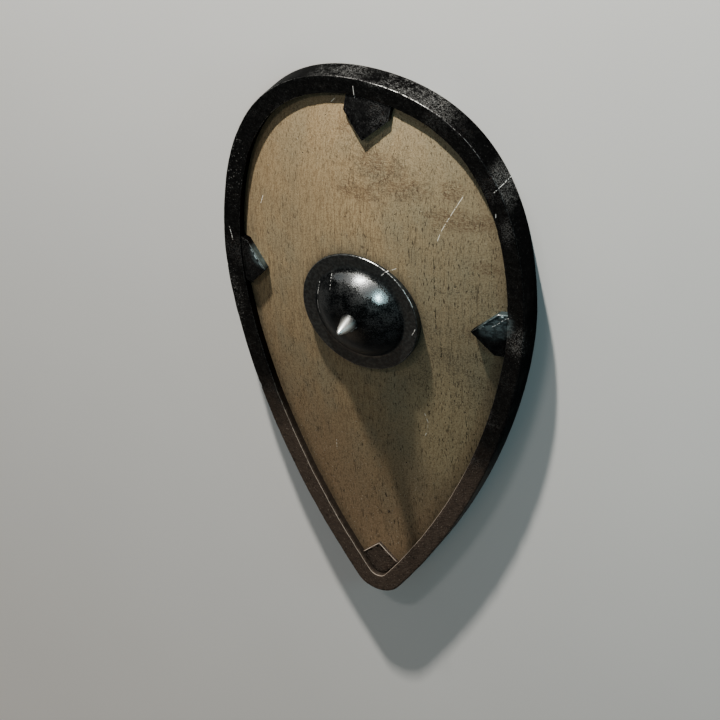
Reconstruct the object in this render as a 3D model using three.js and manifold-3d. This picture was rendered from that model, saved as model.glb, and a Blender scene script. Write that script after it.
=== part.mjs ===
/*
 * Kite shield, lying on its back with its face up.
 * Millimetres, +Z up. X runs across the shield, +Y points to its round top, and the
 * origin is at the middle of its outline, on the plane that the rim's back lies on.
 */
import * as THREE from 'three';
import { mergeVertices } from 'three/addons/utils/BufferGeometryUtils.js';
import Module from 'manifold-3d';

const wasm = await Module();
wasm.setup();

// Outline of the whole shield, measured over the rim
const shield_height = 900;
const shield_width = 500;
const widest_below_top = 329;
const tip_inner_radius = 16.5;
const tip_half_angle = THREE.MathUtils.degToRad(36.8);

// How full the outline's curves are, as shares of the stretch that each one spans
const top_level_share = 0.584;
const top_upright_share = 0.725;
const flank_upright_share = 0.161;
const flank_tip_share = 0.502;

// Rim: a folded iron channel that grips the edge of the board
const rim_width = 28;
const rim_depth = 40;
const rim_sheet = 2.5;
const rim_bevel = 1.6;
const rim_stand = 13.7;
const rim_back_width = 20;

// Board: one piece of wood, dished so that it swells towards the face
const board_thickness = 11;
const board_rise = 46;
const edge_clearance = 0.5;
const seat_gap = 0.3;

// Boss: hollow iron dome with a flange and a spike, over the hand hole
const boss_below_widest = 36;
const boss_diameter = 190;
const boss_sheet = 2.5;
const dome_diameter = 144;
const dome_height = 32;
const crease_radius = 3;
const hand_hole_diameter = 122;
const spike_height = 31;
const spike_foot_radius = 12;
const spike_swell = 0.55;
const spike_flare = 2;
const spike_flare_bend = 5;

// Tabs: four pointed plates that reach inwards from the rim
const tab_half_width = 36.5;
const tab_point_length = 35;
const tab_thickness = 11;
const tip_tab_thickness = 5;
const tab_shoulder_top = 23;
const tab_shoulder_side = 15;
const tab_shoulder_tip = 24;
const side_tabs_below_widest = 31;

// Grip: a turned wooden bar across the hand hole, at the back of the board
const grip_middle_radius = 14;
const grip_end_radius = 11;
const grip_end_overlap = 24;
const grip_below_hole_edge = 10;

// How finely the curves are divided
const top_steps = 14;
const flank_steps = 19;
const tip_steps = 5;
const dish_rings = 8;
const round_steps = 48;
const dome_steps = 8;
const crease_steps = 2;
const spike_steps = 5;
const grip_steps = 10;
const grip_sides = 16;

// Sizes that follow from the ones above
const half_width = shield_width / 2;
const top_y = shield_height / 2;
const widest_y = top_y - widest_below_top;
const tip_y = -shield_height / 2;
const flank_height = widest_y - tip_y;
const tip_radius = tip_inner_radius + rim_width;
const board_edge_front = rim_depth - rim_stand;
const board_edge_back = board_edge_front - board_thickness;
const boss_y = widest_y - boss_below_widest;
const boss_radius = boss_diameter / 2;
const dome_radius = dome_diameter / 2;
const hand_hole_radius = hand_hole_diameter / 2;

const iron = { color: 0x1d1c1b, roughness: 0.5, metalness: 0.85 };
const finishes = {
  board: { color: 0xa5917a, roughness: 0.8, metalness: 0 },
  rim: iron,
  tab: { ...iron, color: 0x232221 },
  boss: { ...iron, color: 0x151617, roughness: 0.28 },
  grip: { color: 0x7a6248, roughness: 0.7, metalness: 0 },
};

/** Half of the outer outline, from the middle of the top to the tip, as points with outward normals. */
function outline_right_half() {
  const top_curve = new THREE.CubicBezierCurve(
    new THREE.Vector2(0, top_y),
    new THREE.Vector2(top_level_share * half_width, top_y),
    new THREE.Vector2(half_width, widest_y + top_upright_share * widest_below_top),
    new THREE.Vector2(half_width, widest_y),
  );
  const tip_centre = new THREE.Vector2(0, tip_y + tip_radius);
  const flank_end = tip_centre.clone().add(
    new THREE.Vector2(Math.cos(tip_half_angle), -Math.sin(tip_half_angle)).multiplyScalar(tip_radius),
  );
  const up_the_flank = new THREE.Vector2(Math.sin(tip_half_angle), Math.cos(tip_half_angle));
  const flank_curve = new THREE.CubicBezierCurve(
    new THREE.Vector2(half_width, widest_y),
    new THREE.Vector2(half_width, widest_y - flank_upright_share * flank_height),
    flank_end.clone().add(up_the_flank.multiplyScalar(flank_tip_share * flank_height)),
    flank_end,
  );
  const tip_curve = new THREE.EllipseCurve(
    tip_centre.x, tip_centre.y, tip_radius, tip_radius, -tip_half_angle, -Math.PI / 2, true,
  );
  const stations = [];
  for (const [curve, steps] of [[top_curve, top_steps], [flank_curve, flank_steps], [tip_curve, tip_steps]]) {
    for (let step = 0; step < steps; step += 1) {
      stations.push(station_at(curve, step / steps));
    }
  }
  stations.push({ point: new THREE.Vector2(0, tip_y), normal: new THREE.Vector2(0, -1) });
  stations[0].normal.set(0, 1);
  return stations;
}

function station_at(curve, share) {
  const point = curve.getPointAt(share);
  const tangent = curve.getTangentAt(share);
  return { point, normal: new THREE.Vector2(-tangent.y, tangent.x) };
}

/** The whole outline, clockwise from the middle of the top. */
function whole_outline() {
  const right = outline_right_half();
  const left = right.slice(1, -1).reverse().map(({ point, normal }) => ({
    point: new THREE.Vector2(-point.x, point.y),
    normal: new THREE.Vector2(-normal.x, normal.y),
  }));
  return [...right, ...left];
}

const outline = whole_outline();
const half_count = top_steps + flank_steps + tip_steps;

/** The outline moved inwards by a distance. */
function outline_inset(distance) {
  return outline.map(({ point, normal }) => point.clone().addScaledVector(normal, -distance));
}

const dish_edge = outline_inset(rim_width);
const dish_half_width = Math.max(...dish_edge.map((point) => point.x));

/** Half the width that the rim leaves open at height y. */
function open_half_width(y) {
  for (let index = 0; index < half_count; index += 1) {
    const upper = dish_edge[index];
    const lower = dish_edge[index + 1];
    if (y <= upper.y && y >= lower.y) {
      return THREE.MathUtils.mapLinear(y, upper.y, lower.y, upper.x, lower.x);
    }
  }
  return 0;
}

/** Height of the board's face: level along the rim, with the same curve across at every height. */
function board_face(x, y) {
  const across = (open_half_width(y) ** 2 - x ** 2) / dish_half_width ** 2;
  return board_edge_front + board_rise * Math.max(0, across);
}

/** Rings of points from the hand hole out to the rim. */
function dish_rings_plan(edge) {
  const centre = new THREE.Vector2(0, boss_y);
  const rings = [];
  for (let ring = 0; ring <= dish_rings; ring += 1) {
    rings.push(edge.map((point) => {
      const away = point.clone().sub(centre);
      const reach = THREE.MathUtils.lerp(hand_hole_radius, away.length(), ring / dish_rings);
      return centre.clone().add(away.setLength(reach));
    }));
  }
  return rings;
}

/** A closed ring-shaped body between two skins that share the same plan. */
function body_between(rings, lower_height, upper_height) {
  const positions = [];
  const indices = [];
  const around = rings[0].length;
  for (const height of [lower_height, upper_height]) {
    for (const ring of rings) {
      ring.forEach((point) => positions.push(point.x, point.y, height(point.x, point.y)));
    }
  }
  const vertex = (side, ring, step) => (side * rings.length + ring) * around + (step % around);
  const quad = (a, b, c, d) => indices.push(a, c, b, a, d, c);
  for (let step = 0; step < around; step += 1) {
    for (let ring = 0; ring < rings.length - 1; ring += 1) {
      const [a, b] = [vertex(1, ring, step), vertex(1, ring, step + 1)];
      const [c, d] = [vertex(1, ring + 1, step + 1), vertex(1, ring + 1, step)];
      quad(a, d, c, b);
      const [e, f] = [vertex(0, ring, step), vertex(0, ring, step + 1)];
      const [g, h] = [vertex(0, ring + 1, step + 1), vertex(0, ring + 1, step)];
      quad(e, f, g, h);
    }
    const last = rings.length - 1;
    quad(vertex(0, 0, step), vertex(1, 0, step), vertex(1, 0, step + 1), vertex(0, 0, step + 1));
    quad(vertex(0, last, step), vertex(0, last, step + 1), vertex(1, last, step + 1), vertex(1, last, step));
  }
  return geometry_from(positions, indices);
}

function geometry_from(positions, indices) {
  const geometry = new THREE.BufferGeometry();
  geometry.setAttribute('position', new THREE.Float32BufferAttribute(positions, 3));
  geometry.setIndex(indices);
  return geometry;
}

/** A closed geometry as a solid that can be joined and cut. */
function solid_from(geometry) {
  const bare = geometry.clone();
  bare.deleteAttribute('normal');
  bare.deleteAttribute('uv');
  const merged = mergeVertices(bare, 1e-4);
  return new wasm.Manifold(new wasm.Mesh({
    numProp: 3,
    vertProperties: new Float32Array(merged.attributes.position.array),
    triVerts: new Uint32Array(merged.index.array),
  }));
}

function geometry_of(solid) {
  const mesh = solid.getMesh();
  return geometry_from(Array.from(mesh.vertProperties), Array.from(mesh.triVerts));
}

/** A layer that follows the board's face between two lifts above it. */
function layer_over_board(edge, lower_lift, upper_lift) {
  const rings = dish_rings_plan(edge);
  return solid_from(body_between(
    rings,
    (x, y) => board_face(x, y) + lower_lift,
    (x, y) => board_face(x, y) + upper_lift,
  ));
}

/** The board: its dish, and the level border that the rim grips. */
function make_board() {
  const border = outline_inset(rim_sheet + edge_clearance);
  const rings = [...dish_rings_plan(dish_edge), border];
  return body_between(rings, (x, y) => board_face(x, y) - board_thickness, board_face);
}

/** The rim: one folded section carried round the outline. */
function make_rim() {
  const front_lip = board_edge_front + seat_gap;
  const back_lip = board_edge_back - seat_gap;
  const section = [
    [0, rim_bevel],
    [0, rim_depth - rim_bevel],
    [rim_bevel, rim_depth],
    [rim_width - rim_bevel, rim_depth],
    [rim_width, rim_depth - rim_bevel],
    [rim_width, front_lip],
    [rim_width - rim_sheet, front_lip],
    [rim_width - rim_sheet, rim_depth - rim_sheet],
    [rim_sheet, rim_depth - rim_sheet],
    [rim_sheet, rim_sheet],
    [rim_back_width - rim_sheet, rim_sheet],
    [rim_back_width - rim_sheet, back_lip],
    [rim_back_width, back_lip],
    [rim_back_width, rim_bevel],
    [rim_back_width - rim_bevel, 0],
    [rim_bevel, 0],
  ];
  const positions = [];
  const indices = [];
  for (const { point, normal } of outline) {
    for (const [inwards, height] of section) {
      const place = point.clone().addScaledVector(normal, -inwards);
      positions.push(place.x, place.y, height);
    }
  }
  const corners = section.length;
  for (let step = 0; step < outline.length; step += 1) {
    const here = step * corners;
    const next = ((step + 1) % outline.length) * corners;
    for (let corner = 0; corner < corners; corner += 1) {
      const along = (corner + 1) % corners;
      indices.push(here + corner, next + along, next + corner);
      indices.push(here + corner, here + along, next + along);
    }
  }
  return geometry_from(positions, indices);
}

/** The inside radius of a round cap of this height over this base radius. */
function cap_radius(base, height) {
  return (base ** 2 + height ** 2) / (2 * height);
}

/** Points down the side of a round cap, from one distance off its axis to a wider one. */
function cap_profile(base, height, foot_z, from_radius, to_radius) {
  const radius = cap_radius(base, height);
  const first = Math.asin(from_radius / radius);
  const last = Math.asin(to_radius / radius);
  const points = [];
  for (let step = 0; step <= dome_steps; step += 1) {
    const angle = THREE.MathUtils.lerp(first, last, step / dome_steps);
    points.push(new THREE.Vector2(
      radius * Math.sin(angle),
      foot_z + height - radius * (1 - Math.cos(angle)),
    ));
  }
  return points;
}

/** The spike's side: a blunt tip that swells down to its foot, and a flare into the dome. */
function spike_profile(crown_z) {
  const points = [];
  for (let step = 0; step < spike_steps; step += 1) {
    const down = (step / spike_steps) ** 2;
    points.push(new THREE.Vector2(
      spike_foot_radius * down ** spike_swell + spike_flare * down ** spike_flare_bend,
      crown_z + spike_height * (1 - down),
    ));
  }
  return points;
}

/** The boss: flange with a turned-down lip, dome and spike, seated on the board. */
function make_boss() {
  const seat_z = board_face(0, boss_y + hand_hole_radius) + seat_gap;
  const flange_z = seat_z + boss_sheet;
  const crown_z = flange_z + dome_height;
  const flare_radius = spike_foot_radius + spike_flare;
  const inner_base = dome_radius - boss_sheet;
  const crease_top = dome_radius - crease_radius;
  const dome_outside = cap_profile(dome_radius, dome_height, flange_z, flare_radius, crease_top);
  const dome_inside = cap_profile(inner_base, dome_height - boss_sheet, flange_z, 0, inner_base);
  const crease = new THREE.QuadraticBezierCurve(
    dome_outside[dome_outside.length - 1],
    new THREE.Vector2(dome_radius, flange_z),
    new THREE.Vector2(dome_radius + crease_radius, flange_z),
  );
  const outside = [
    ...spike_profile(crown_z),
    ...dome_outside,
    ...crease.getPoints(crease_steps).slice(1),
    new THREE.Vector2(boss_radius - boss_sheet / 2, flange_z),
    new THREE.Vector2(boss_radius, flange_z - boss_sheet / 2),
    new THREE.Vector2(boss_radius, board_edge_front),
  ];
  const inside = [
    new THREE.Vector2(boss_radius - boss_sheet, board_edge_front),
    new THREE.Vector2(boss_radius - boss_sheet, seat_z),
    new THREE.Vector2(inner_base, seat_z),
    ...dome_inside.reverse(),
  ];
  const turned = new THREE.LatheGeometry([...outside, ...inside].reverse(), round_steps);
  turned.rotateX(Math.PI / 2);
  turned.translate(0, boss_y, 0);
  const seat = layer_over_board(dish_edge, -board_thickness - board_rise, seat_gap);
  return geometry_of(solid_from(turned).subtract(seat));
}

/** A pointed plate bent to the board: its root is cut to the rim's inner wall. */
function make_tab(root_x, root_y, turn, shoulder, thickness) {
  const root = -rim_width;
  const plan = new THREE.Shape([
    new THREE.Vector2(-tab_half_width, root),
    new THREE.Vector2(tab_half_width, root),
    new THREE.Vector2(tab_half_width, shoulder),
    new THREE.Vector2(0, shoulder + tab_point_length),
    new THREE.Vector2(-tab_half_width, shoulder),
  ]);
  const prism_height = rim_depth + board_rise + thickness;
  const prism = new THREE.ExtrudeGeometry(plan, { depth: prism_height, bevelEnabled: false });
  prism.rotateZ(turn);
  prism.translate(root_x, root_y, 0);
  const layer = layer_over_board(outline_inset(rim_width + seat_gap), seat_gap, thickness);
  return geometry_of(solid_from(prism).intersect(layer));
}

/** The grip: a turned bar, cut where its ends lie against the back of the board. */
function make_grip() {
  const half_length = hand_hole_radius + grip_end_overlap;
  const profile = [new THREE.Vector2(0, -half_length)];
  for (let step = 0; step <= grip_steps; step += 1) {
    const along = THREE.MathUtils.lerp(-half_length, half_length, step / grip_steps);
    const swell = Math.cos((Math.PI / 2) * (along / half_length)) ** 2;
    profile.push(new THREE.Vector2(THREE.MathUtils.lerp(grip_end_radius, grip_middle_radius, swell), along));
  }
  profile.push(new THREE.Vector2(0, half_length));
  const bar = new THREE.LatheGeometry(profile, grip_sides);
  bar.rotateZ(-Math.PI / 2);
  const hole_edge_z = board_face(hand_hole_radius, boss_y) - board_thickness;
  bar.translate(0, boss_y, hole_edge_z - grip_below_hole_edge);
  const board_and_gap = layer_over_board(dish_edge, -board_thickness - seat_gap, 0);
  return geometry_of(solid_from(bar).subtract(board_and_gap));
}

function named_mesh(name, geometry, finish) {
  const mesh = new THREE.Mesh(geometry, new THREE.MeshStandardMaterial(finishes[finish]));
  mesh.name = name;
  return mesh;
}

const shield = new THREE.Group();
shield.name = 'kite_shield';
shield.add(named_mesh('board', make_board(), 'board'));
shield.add(named_mesh('rim', make_rim(), 'rim'));
shield.add(named_mesh('boss', make_boss(), 'boss'));
shield.add(named_mesh('hand_grip', make_grip(), 'grip'));

// The side tabs stand square to the rim, which leans inwards below the widest line
const side_y = widest_y - side_tabs_below_widest;
const side_root = open_half_width(side_y);
const rim_lean = Math.atan2(
  open_half_width(side_y + tab_half_width) - open_half_width(side_y - tab_half_width),
  2 * tab_half_width,
);
const side_turn = Math.PI / 2 - rim_lean;
const inner_top = dish_edge[0].y;
const inner_tip = dish_edge[half_count].y;
const tabs = [
  ['tab_top', 0, inner_top, Math.PI, tab_shoulder_top, tab_thickness],
  ['tab_left', -side_root, side_y, -side_turn, tab_shoulder_side, tab_thickness],
  ['tab_right', side_root, side_y, side_turn, tab_shoulder_side, tab_thickness],
  ['tab_tip', 0, inner_tip, 0, tab_shoulder_tip, tip_tab_thickness],
];
for (const [name, ...plate] of tabs) {
  shield.add(named_mesh(name, make_tab(...plate), 'tab'));
}

export default shield;
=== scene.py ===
# A kite shield on its back: a dished wooden board with a blackened iron rim, boss and tabs,
# and a turned hand grip behind the boss. Metres, +Z up, +Y towards the round top.
import math

import bmesh
import bpy
import numpy as np
from mathutils import Matrix, Vector, kdtree
from mathutils.geometry import delaunay_2d_cdt


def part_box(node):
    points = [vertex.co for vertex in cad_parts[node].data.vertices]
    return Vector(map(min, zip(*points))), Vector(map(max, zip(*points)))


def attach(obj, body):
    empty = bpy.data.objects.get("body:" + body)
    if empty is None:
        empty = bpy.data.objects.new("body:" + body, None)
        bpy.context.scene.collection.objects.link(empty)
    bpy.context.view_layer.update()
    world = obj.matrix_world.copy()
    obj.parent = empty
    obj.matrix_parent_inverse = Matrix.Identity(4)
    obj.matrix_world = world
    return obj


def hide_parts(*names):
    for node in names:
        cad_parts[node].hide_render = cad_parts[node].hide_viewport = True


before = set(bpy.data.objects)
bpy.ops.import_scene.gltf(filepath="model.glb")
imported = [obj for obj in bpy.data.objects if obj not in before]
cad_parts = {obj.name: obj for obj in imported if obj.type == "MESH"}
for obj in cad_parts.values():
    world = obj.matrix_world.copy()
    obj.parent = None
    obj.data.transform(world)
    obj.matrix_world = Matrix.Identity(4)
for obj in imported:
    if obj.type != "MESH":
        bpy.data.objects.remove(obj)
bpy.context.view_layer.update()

MM = 0.001

# The outline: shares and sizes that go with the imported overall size
rim_low, rim_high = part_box("rim")
HALF_WIDTH = rim_high.x
TOP_Y = rim_high.y
TIP_Y = rim_low.y
WIDEST_Y = TOP_Y - 329 * MM
TIP_INNER_RADIUS = 16.5 * MM
TIP_HALF_ANGLE = math.radians(36.8)
TOP_LEVEL_SHARE = 0.584
TOP_UPRIGHT_SHARE = 0.725
FLANK_UPRIGHT_SHARE = 0.161
FLANK_TIP_SHARE = 0.502

# The folded iron channel of the rim
RIM_DEPTH = rim_high.z
RIM_WIDTH = 28 * MM
RIM_SHEET = 2.5 * MM
RIM_BACK_WIDTH = 20 * MM
RIM_ROUND = 2.0 * MM
RIM_BACK_ROUND = 1.6 * MM
RIM_STEPS = 780

# The board, its level from its packed box, and how far apart its points are across and along
board_low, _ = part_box("board")
BOARD_THICKNESS = 11 * MM
BOARD_EDGE_FRONT = board_low.z + BOARD_THICKNESS
BOARD_RISE = 46 * MM
EDGE_CLEARANCE = 0.5 * MM
SEAT_GAP = 0.3 * MM
HAND_HOLE_RADIUS = 61 * MM
HAND_HOLE_STEPS = 150
FACE_MESH = (1.7 * MM, 4.2 * MM)
BACK_MESH = (5 * MM, 13 * MM)

# The boss. A bend is degrees round its lip, and the wear there
boss_low, boss_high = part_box("boss")
BOSS_Y = (boss_low.y + boss_high.y) / 2
BOSS_RADIUS = boss_high.x
BOSS_SHEET = 2.5 * MM
DOME_RADIUS = 72 * MM
DOME_HEIGHT = 32 * MM
CREASE_RADIUS = 3 * MM
SPIKE_HEIGHT = 31 * MM
SPIKE_FOOT_RADIUS = 12 * MM
SPIKE_SWELL = 0.55
SPIKE_FLARE = 2 * MM
SPIKE_FLARE_BEND = 5
BOSS_STEPS = 208
LIP_BENDS = [(0, 0.6), (22, 0.9), (45, 1), (68, 0.9), (90, 0.5)]

# The tabs: three thick ones, and a thin one at the tip. A bend is degrees round the arris, and its wear
TAB_HALF_WIDTH = 36.5 * MM
TAB_POINT_LENGTH = 35 * MM
TAB_THICKNESS = 11 * MM
TIP_TAB_THICKNESS = 5 * MM
TAB_SHOULDER_TOP = 23 * MM
TAB_SHOULDER_SIDE = 15 * MM
TAB_SHOULDER_TIP = 24 * MM
SIDE_TABS_Y = WIDEST_Y - 31 * MM
TAB_ROUND = 1.3 * MM
TAB_BENDS = [(0, 0.35), (22, 0.8), (45, 1), (68, 1), (90, 0.7)]
TAB_MESH = 2.6 * MM
TAB_BACK_MESH = 9 * MM

# The grip. The phase of its tool rings runs so far from its middle to an end, in radians
grip_low, grip_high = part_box("hand_grip")
GRIP_HALF_LENGTH = grip_high.x
GRIP_MIDDLE_RADIUS = 14 * MM
GRIP_END_RADIUS = 11 * MM
GRIP_END_ROUND = 2 * MM
GRIP_AXIS_Z = grip_low.z + GRIP_MIDDLE_RADIUS
GRIP_STEPS = 132
GRIP_STEPS_AROUND = 44
TOOL_RING_DEPTH = 0.12 * MM
TOOL_RING_PHASE = 190


def lerp(low, high, share):
    return low + (high - low) * share


def length_along(path):
    """How far along a path each of its points lies."""
    return np.concatenate([[0], np.cumsum(np.hypot(*np.diff(path, axis=0).T))])


def points_along(path, places):
    """The points that lie so far along a path."""
    run = length_along(path)
    return np.column_stack([np.interp(places, run, path[:, axis]) for axis in (0, 1)])


def circle(middle_x, middle_y, radius, count):
    """Points round a circle, in order."""
    turn = np.linspace(0, 2 * math.pi, count, endpoint=False)
    return np.column_stack([middle_x + radius * np.cos(turn), middle_y + radius * np.sin(turn)])


def curve_points(start, pull, late_pull, end, count):
    """Even steps along a smooth curve, without its last point."""
    share = np.linspace(0, 1, 3001)[:, None]
    left = 1 - share
    fine = left**3 * start + 3 * share * left**2 * pull
    fine = fine + 3 * share**2 * left * late_pull + share**3 * end
    return points_along(fine, np.linspace(0, length_along(fine)[-1], count, endpoint=False))


def left_normals(loop):
    """The way to the left at each point of a closed loop, longer at corners to keep edges parallel."""
    edge = np.roll(loop, -1, axis=0) - loop
    edge /= np.linalg.norm(edge, axis=1)[:, None]
    after = np.column_stack([-edge[:, 1], edge[:, 0]])
    before = np.roll(after, 1, axis=0)
    return (before + after) / (1 + (before * after).sum(1))[:, None]


def shield_outline():
    """The outline over the rim, clockwise from the middle of the top."""
    top = curve_points(
        np.array([0, TOP_Y]),
        np.array([TOP_LEVEL_SHARE * HALF_WIDTH, TOP_Y]),
        np.array([HALF_WIDTH, lerp(WIDEST_Y, TOP_Y, TOP_UPRIGHT_SHARE)]),
        np.array([HALF_WIDTH, WIDEST_Y]),
        round(RIM_STEPS * 0.2),
    )
    tip_radius = TIP_INNER_RADIUS + RIM_WIDTH
    tip_middle = np.array([0, TIP_Y + tip_radius])
    flank_height = WIDEST_Y - TIP_Y
    flank_end = tip_middle + tip_radius * np.array([math.cos(TIP_HALF_ANGLE), -math.sin(TIP_HALF_ANGLE)])
    up_the_flank = np.array([math.sin(TIP_HALF_ANGLE), math.cos(TIP_HALF_ANGLE)])
    flank = curve_points(
        np.array([HALF_WIDTH, WIDEST_Y]),
        np.array([HALF_WIDTH, WIDEST_Y - FLANK_UPRIGHT_SHARE * flank_height]),
        flank_end + up_the_flank * FLANK_TIP_SHARE * flank_height,
        flank_end,
        round(RIM_STEPS * 0.27),
    )
    turn = np.linspace(-TIP_HALF_ANGLE, -math.pi / 2, RIM_STEPS // 2 - len(top) - len(flank) + 1)
    tip = tip_middle + tip_radius * np.column_stack([np.cos(turn), np.sin(turn)])
    right = np.vstack([top, flank, tip])
    left = right[-2:0:-1] * [-1, 1]
    return np.vstack([right, left])


OUTLINE = shield_outline()
OUTWARDS = left_normals(OUTLINE)
HALF_COUNT = RIM_STEPS // 2


def outline_inset(distance):
    return OUTLINE - OUTWARDS * distance


DISH_EDGE = outline_inset(RIM_WIDTH)
DISH_HALF_WIDTH = DISH_EDGE[:, 0].max()


def half_width_at(y):
    """Half the width that the rim leaves open there."""
    right = DISH_EDGE[: HALF_COUNT + 1]
    return np.interp(-y, -right[:, 1], right[:, 0])


def board_face(x, y):
    """Height of the board's face: level along the rim, with the same curve across wherever it is cut."""
    across = (half_width_at(y) ** 2 - x**2) / DISH_HALF_WIDTH**2
    return BOARD_EDGE_FRONT + BOARD_RISE * np.maximum(0, across)


def board_back(x, y):
    return board_face(x, y) - BOARD_THICKNESS


def rough(x, y, seed):
    """Smooth random heights between -1 and 1 that change with each whole step of x and y."""
    cells = 512
    heights = np.random.default_rng(seed).uniform(-1, 1, (cells, cells))
    column = np.floor(x).astype(int)
    row = np.floor(y).astype(int)
    across = x - column
    along = y - row
    across = across**2 * (3 - 2 * across)
    along = along**2 * (3 - 2 * along)

    def corner(right, up):
        return heights[(column + right) % cells, (row + up) % cells]

    low = lerp(corner(0, 0), corner(1, 0), across)
    high = lerp(corner(0, 1), corner(1, 1), across)
    return lerp(low, high, along)


def waves(x, y, height, width, length, seed, moved=0):
    """Random waves of that height, width across and length along, in millimetres."""
    return height * MM * rough(x / (width * MM) + moved, y / (length * MM) + moved, seed)


def distance_to_path(x, y, path):
    """How far points are from a path of straight stretches, and their share of the way along it."""
    path = np.array(path) * MM
    nearest = np.full(np.shape(x), np.inf)
    share = np.zeros(np.shape(x))
    for number, (start, end) in enumerate(zip(path[:-1], path[1:])):
        stretch = end - start
        along = ((x - start[0]) * stretch[0] + (y - start[1]) * stretch[1]) / (stretch @ stretch)
        along = np.clip(along, 0, 1)
        away = np.hypot(x - start[0] - along * stretch[0], y - start[1] - along * stretch[1])
        closer = away < nearest
        nearest = np.where(closer, away, nearest)
        share = np.where(closer, (number + along) / (len(path) - 1), share)
    return nearest, share


# Meshes


def make_piece(name, vertices, faces, worn, sharp_angle=35, **fields):
    """A closed mesh with smooth shading, sharp only at its corners, and its values for wear."""
    mesh = bpy.data.meshes.new(name)
    mesh.from_pydata(np.asarray(vertices).tolist(), [], [tuple(face) for face in faces])
    mesh.validate()
    work = bmesh.new()
    work.from_mesh(mesh)
    bmesh.ops.recalc_face_normals(work, faces=work.faces)
    work.to_mesh(mesh)
    work.free()
    fields["edge_wear"] = worn
    for field, values in fields.items():
        layer = mesh.attributes.new(field, "FLOAT", "POINT")
        layer.data.foreach_set("value", np.asarray(values, np.float32))
    mesh.shade_smooth()
    mesh.set_sharp_from_angle(angle=math.radians(sharp_angle))
    piece = bpy.data.objects.new(name, mesh)
    bpy.context.scene.collection.objects.link(piece)
    return piece


def swept_faces(rows, columns, close_rows=True):
    """Four-sided faces of a grid whose rows close on themselves, and whose last row can meet the first."""
    faces = []
    for row in range(rows if close_rows else rows - 1):
        here = row * columns
        there = (row + 1) % rows * columns
        for column in range(columns):
            beside = (column + 1) % columns
            faces.append((here + column, here + beside, there + beside, there + column))
    return faces


def distances(points, others):
    """How far each point is from the nearest of the others."""
    tree = kdtree.KDTree(len(others))
    for number, (x, y) in enumerate(others):
        tree.insert((x, y, 0), number)
    tree.balance()
    return np.array([tree.find((x, y, 0))[2] for x, y in points])


def clear_of(points, others, distance):
    """The points that keep that distance from all the others."""
    return points[distances(points, others) > distance]


def scattered_inside(loop, steps, margin):
    """Rows of points inside a closed loop, every other row moved by half a step."""
    step_x, step_y = steps
    low = loop.min(0)
    high = loop.max(0)
    rows = np.arange(low[1] + margin, high[1] - margin, step_y)
    points = []
    for number, y in enumerate(rows):
        nearby = loop[np.abs(loop[:, 1] - y) < 2 * step_y + 6 * MM]
        if len(nearby) == 0:
            continue
        shift = step_x / 2 * (number % 2)
        x = np.arange(nearby[:, 0].min() + margin + shift, nearby[:, 0].max() - margin, step_x)
        points.append(np.column_stack([x, np.full(len(x), y)]))
    points = np.vstack(points)
    return clear_of(points[inside(points, loop)], loop, margin)


def inside(points, loop):
    """Which points a closed loop goes round."""
    crossings = np.zeros(len(points), int)
    x, y = points.T
    for (ax, ay), (bx, by) in zip(loop, np.roll(loop, -1, axis=0)):
        if ay == by:
            continue
        spans = (y >= min(ay, by)) & (y < max(ay, by))
        crossings += spans & (x < ax + (y - ay) * (bx - ax) / (by - ay))
    return crossings % 2 == 1


def triangles_over(loops, points):
    """Triangles that join loops and the points between them, the first loop being the outer one."""
    flat = np.vstack([*loops, points])
    edges = []
    start = 0
    for loop in loops:
        count = len(loop)
        edges += [(start + number, start + (number + 1) % count) for number in range(count)]
        start += count
    corners = [Vector(point) for point in flat.tolist()]
    _, _, triangles, sources, _, _ = delaunay_2d_cdt(corners, edges, [], 1, 1e-9, True)
    first = [source[0] for source in sources]
    holes = []
    start = len(loops[0])
    for loop in loops[1:]:
        holes.append(set(range(start, start + len(loop))))
        start += len(loop)
    kept = []
    for triangle in triangles:
        places = [first[corner] for corner in triangle]
        if not any(hole.issuperset(places) for hole in holes):
            kept.append(places)
    return flat, kept


def make_slab(name, loops, edge_rows, face_points, back_points, face, back, sharp_angle=35, **fields):
    """A closed plate between two surfaces. An edge row says how far in it stands from the loops,
    its share of the way from back to face, what is added to that height, and how worn it is."""
    vertices = []
    faces = []
    worn = []
    outwards = [left_normals(loop) for loop in loops]
    counts = [len(loop) for loop in loops]
    around = sum(counts)
    for inset, share, added, wear in edge_rows:
        row = np.vstack([loop - outward * inset for loop, outward in zip(loops, outwards)])
        height = lerp(back(*row.T), face(*row.T), share) + added
        vertices.append(np.column_stack([row, height]))
        worn.append(np.full(around, wear))
    for row in range(len(edge_rows) - 1):
        start = 0
        for count in counts:
            here = row * around + start
            for step in range(count):
                beside = (step + 1) % count
                above = here + around
                faces.append((here + step, here + beside, above + beside, above + step))
            start += count
    last_row = (len(edge_rows) - 1) * around
    placed = len(edge_rows) * around
    for surface, rim_row, points in ((back, 0, back_points), (face, last_row, face_points)):
        edge = vertices[rim_row // around][:, :2]
        edge_loops = np.split(edge, np.cumsum(counts)[:-1])
        flat, triangles = triangles_over(edge_loops, points)
        between = flat[around:]
        vertices.append(np.column_stack([between, surface(*between.T)]))
        worn.append(np.zeros(len(between)))
        moved = placed - around
        for triangle in triangles:
            faces.append([place + (rim_row if place < around else moved) for place in triangle])
        placed += len(between)
    vertices = np.vstack(vertices)
    worn = np.concatenate(worn)
    values = {field: value(vertices) for field, value in fields.items()}
    return make_piece(name, vertices, faces, worn, sharp_angle, **values)


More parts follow.
